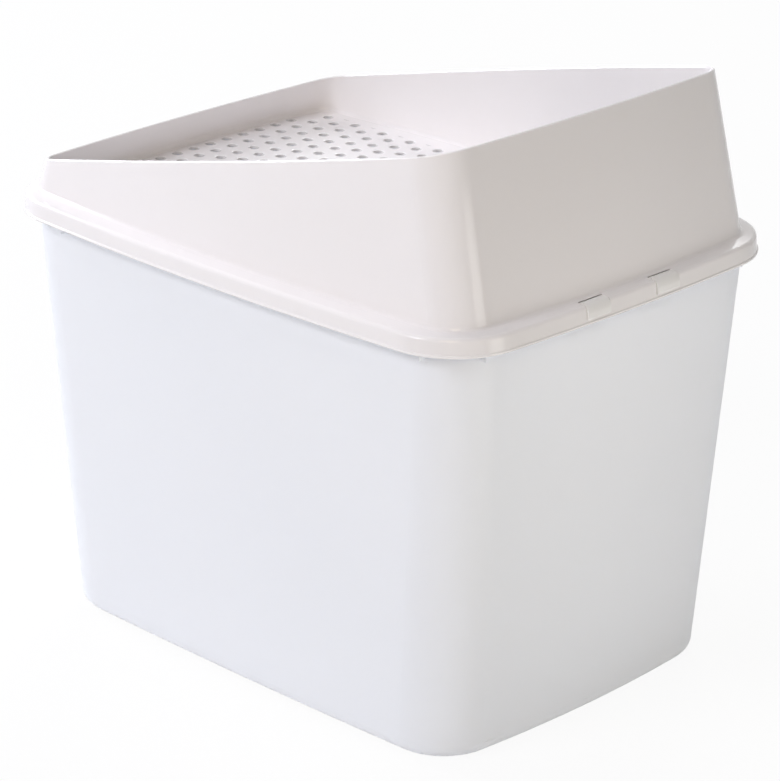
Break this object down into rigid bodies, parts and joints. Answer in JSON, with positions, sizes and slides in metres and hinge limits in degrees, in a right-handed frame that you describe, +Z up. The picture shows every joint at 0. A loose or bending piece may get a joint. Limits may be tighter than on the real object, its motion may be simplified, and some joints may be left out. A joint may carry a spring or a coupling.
{
  "type": "top entry litter box",
  "caption": "Deep drafted litter tub with a hinged hood: a perforated step beside a rounded top entry, inside a sloping collar.",
  "frame": {"origin": "centre of the tub's underside", "axes": "+X along the length towards the tall, hinged end; +Y across; +Z up"},
  "size_m": [0.54, 0.4066, 0.508],
  "materials": {
    "tub_plastic": "milky, slightly translucent moulding with a satin surface",
    "lid_plastic": "glossy ivory moulding",
    "clip_plastic": "glossy white moulding"
  },
  "bodies": {
    "tub_body": {"tub": "tub_plastic", "hinge_clip_front": "clip_plastic", "hinge_clip_rear": "clip_plastic"},
    "lid": {"lid_hood": "lid_plastic"}
  },
  "joints": [
    {"name": "lid_hinge", "type": "hinge", "parent": "tub_body", "child": "lid", "pos_m": [0.2661, 0, 0.3632], "axis": [0, 1, 0], "range_deg": [0, 110]}
  ]
}
